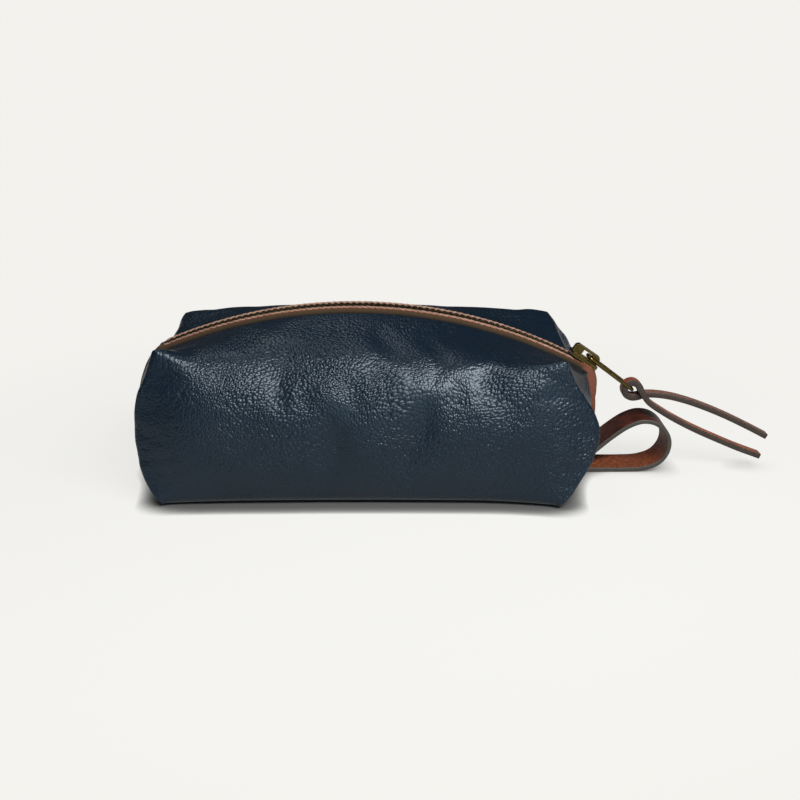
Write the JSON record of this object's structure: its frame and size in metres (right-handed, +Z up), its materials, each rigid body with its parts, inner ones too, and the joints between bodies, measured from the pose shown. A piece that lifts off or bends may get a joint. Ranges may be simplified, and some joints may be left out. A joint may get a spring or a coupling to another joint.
{
  "type": "shaving kit bag",
  "caption": "Boxed leather wash bag with a curved zip over the top, a link puller with a leather cord, and a folded leather loop handle at one end.",
  "frame": {"origin": "middle of the base, on the plane the bag rests on", "axes": "+Z up, +X along the bag towards the closed end of the zip and the handle, -Y is the front panel"},
  "size_m": [0.3312, 0.1024, 0.0877],
  "materials": {
    "navy_leather": "pebbled grain, semi-gloss",
    "lining_cotton": "plain weave cotton",
    "zip_tape": "herringbone weave",
    "thread": "twisted thread",
    "brass": "antique, rubbed",
    "brown_leather": "waxed grain with dark painted edges"
  },
  "bodies": {
    "bag": {"leather_front": "navy_leather", "leather_back": "navy_leather", "lining_front": "lining_cotton", "lining_back": "lining_cotton", "zip_tape_front": "zip_tape", "zip_tape_back": "zip_tape", "zip_teeth_front": "brass", "zip_teeth_back": "brass", "zip_top_stops": "brass", "zip_bottom_stop": "brass", "tape_stitching_front": "thread", "tape_stitching_back": "thread"},
    "slider": {"slider_body": "brass", "slider_crown": "brass"},
    "puller": {"puller": "brass"},
    "pull_cord": {"pull_cord": "brown_leather"},
    "handle": {"handle_loop": "brown_leather"}
  },
  "joints": [
    {"name": "zip_travel", "type": "hinge", "parent": "bag", "child": "slider", "pos_m": [-0.006, 0, -0.1574], "axis": [0, -1, 0], "range_deg": [0, 49.6]},
    {"name": "puller_swing", "type": "hinge", "parent": "slider", "child": "puller", "pos_m": [0.11405, 0, 0.06019], "axis": [0, -1, 0], "range_deg": [-2, 160]},
    {"name": "cord_swing", "type": "hinge", "parent": "puller", "child": "pull_cord", "pos_m": [0.13722, 0, 0.04274], "axis": [0, -1, 0], "range_deg": [-2, 30]},
    {"name": "handle_lift", "type": "hinge", "parent": "bag", "child": "handle", "pos_m": [0.1095, 0, 0.002], "axis": [0, -1, 0], "range_deg": [0, 9]}
  ],
  "couplings": [
    {"joint": "puller_swing", "follows": "zip_travel", "ratio": 3.2258}
  ]
}
